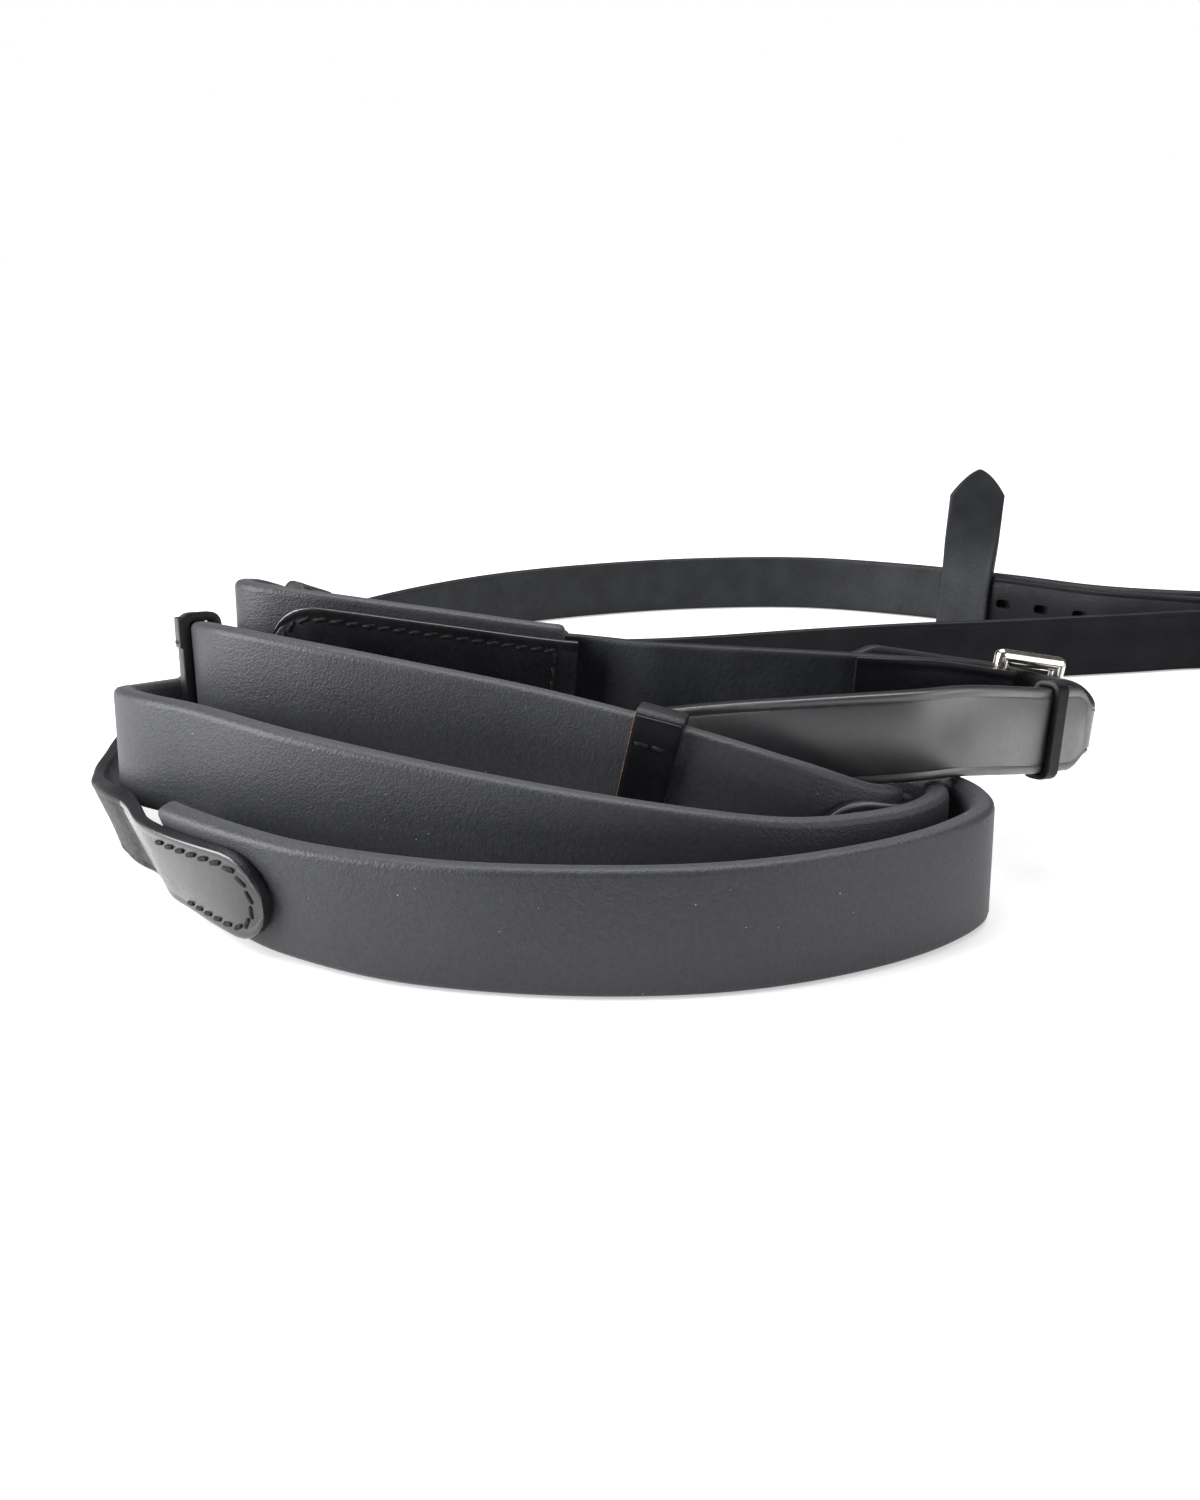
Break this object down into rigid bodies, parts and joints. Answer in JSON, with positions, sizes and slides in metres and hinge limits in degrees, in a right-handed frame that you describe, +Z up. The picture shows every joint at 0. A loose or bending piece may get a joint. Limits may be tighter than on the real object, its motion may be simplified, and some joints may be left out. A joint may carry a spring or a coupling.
{
  "type": "leather_reins",
  "caption": "Pair of black leather riding reins with soft rubber grips, hand stops, hook-stud bit ends and a centre buckle, stored coiled on edge",
  "frame": {"origin": "middle of the footprint, on the surface the coil stands on", "axes": "+X along the longest side of the layout, from the coil toward the bit ends; +Y away from the front of the coil; +Z up"},
  "size_m": [0.3778, 0.3195, 0.0483],
  "materials": {
    "bridle_leather": "black waxed bridle leather, semi-gloss, with some raw brown edges",
    "grip_rubber": "matte charcoal rubber with a fine pebbled grain",
    "webbing": "woven webbing sealed inside the grip",
    "nickel": "polished nickel plate"
  },
  "bodies": {
    "reins": {"bit_fixed_keeper_a": "bridle_leather", "bit_fixed_keeper_b": "bridle_leather", "bit_patch_a": "bridle_leather", "bit_patch_b": "bridle_leather", "bit_strap_a": "bridle_leather", "bit_strap_b": "bridle_leather", "grip_core_a": "webbing", "grip_core_b": "webbing", "grip_cover_a": "grip_rubber", "grip_cover_b": "grip_rubber", "hand_patch_a": "bridle_leather", "hand_patch_b": "bridle_leather", "hand_stop_a_1": "bridle_leather", "hand_stop_a_2": "bridle_leather", "hand_stop_b_1": "bridle_leather", "hand_stop_b_2": "bridle_leather", "hand_strap_a": "bridle_leather", "hand_strap_b": "bridle_leather", "hook_stud_a": "nickel", "hook_stud_b": "nickel", "stud_burr_a": "nickel", "stud_burr_b": "nickel"},
    "billet_a": {"billet_a": "bridle_leather"},
    "billet_b": {"billet_b": "bridle_leather"},
    "running_keeper_a": {"bit_running_keeper_a": "bridle_leather"},
    "running_keeper_b": {"bit_running_keeper_b": "bridle_leather"},
    "hand_keeper": {"hand_keeper": "bridle_leather"},
    "buckle_frame": {"buckle_frame": "nickel"},
    "buckle_prong": {"buckle_prong": "nickel"}
  },
  "joints": [
    {"name": "billet_a_fold", "type": "hinge", "parent": "reins", "child": "billet_a", "pos_m": [0.04025, -0.1408, 0.0097], "axis": [0, 0, -1], "range_deg": [0, 40]},
    {"name": "billet_b_fold", "type": "hinge", "parent": "reins", "child": "billet_b", "pos_m": [0.14735, 0.0727, 0.0097], "axis": [0, 0, 1], "range_deg": [0, 5]},
    {"name": "running_keeper_a_slide", "type": "slide", "parent": "reins", "child": "running_keeper_a", "axis": [1, -0.0038, 0.0012], "range_m": [-0.008, 0.004]},
    {"name": "running_keeper_b_slide", "type": "slide", "parent": "reins", "child": "running_keeper_b", "axis": [1, -0.0091, 0.0006], "range_m": [0, 0.009]},
    {"name": "hand_keeper_slide", "type": "slide", "parent": "reins", "child": "hand_keeper", "axis": [0.6956, 0.7027, -0.1494], "range_m": [-0.0015, 0.0015]},
    {"name": "buckle_frame_heel", "type": "hinge", "parent": "reins", "child": "buckle_frame", "pos_m": [-0.01566, -0.07483, 0.02463], "axis": [0.1868, 0.056, 0.9808], "range_deg": [-2, 0]},
    {"name": "buckle_prong_heel", "type": "hinge", "parent": "buckle_frame", "child": "buckle_prong", "pos_m": [-0.01566, -0.07483, 0.02463], "axis": [0.1868, 0.056, 0.9808], "range_deg": [0, 4]}
  ]
}
